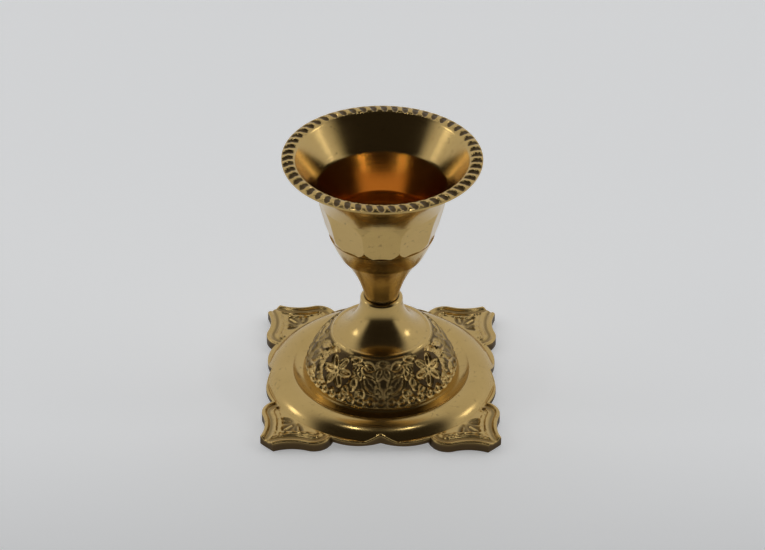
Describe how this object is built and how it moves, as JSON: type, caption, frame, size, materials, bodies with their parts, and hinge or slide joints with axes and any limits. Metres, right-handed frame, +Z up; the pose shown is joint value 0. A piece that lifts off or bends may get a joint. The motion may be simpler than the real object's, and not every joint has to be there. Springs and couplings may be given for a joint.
{
  "type": "candle holder",
  "caption": "Small brass candle holder: flared cup with a rope-edged rim and a belt of flats, screwed onto a square scalloped foot with a domed floral relief.",
  "frame": {"origin": "middle of the foot, on the surface it stands on", "axes": "+Z up along the axis of the cup; -Y is the front, square to one side of the foot and to one flat of the cup"},
  "size_m": [0.0556, 0.0556, 0.063],
  "materials": {
    "cup_brass": "turned and polished",
    "foot_brass": "polished on the turned faces, as cast in the relief",
    "zinc_steel": "zinc plated"
  },
  "bodies": {
    "root": {"cup": "cup_brass", "foot": "foot_brass", "stud": "zinc_steel", "washer": "zinc_steel", "nut": "zinc_steel"}
  },
  "joints": []
}
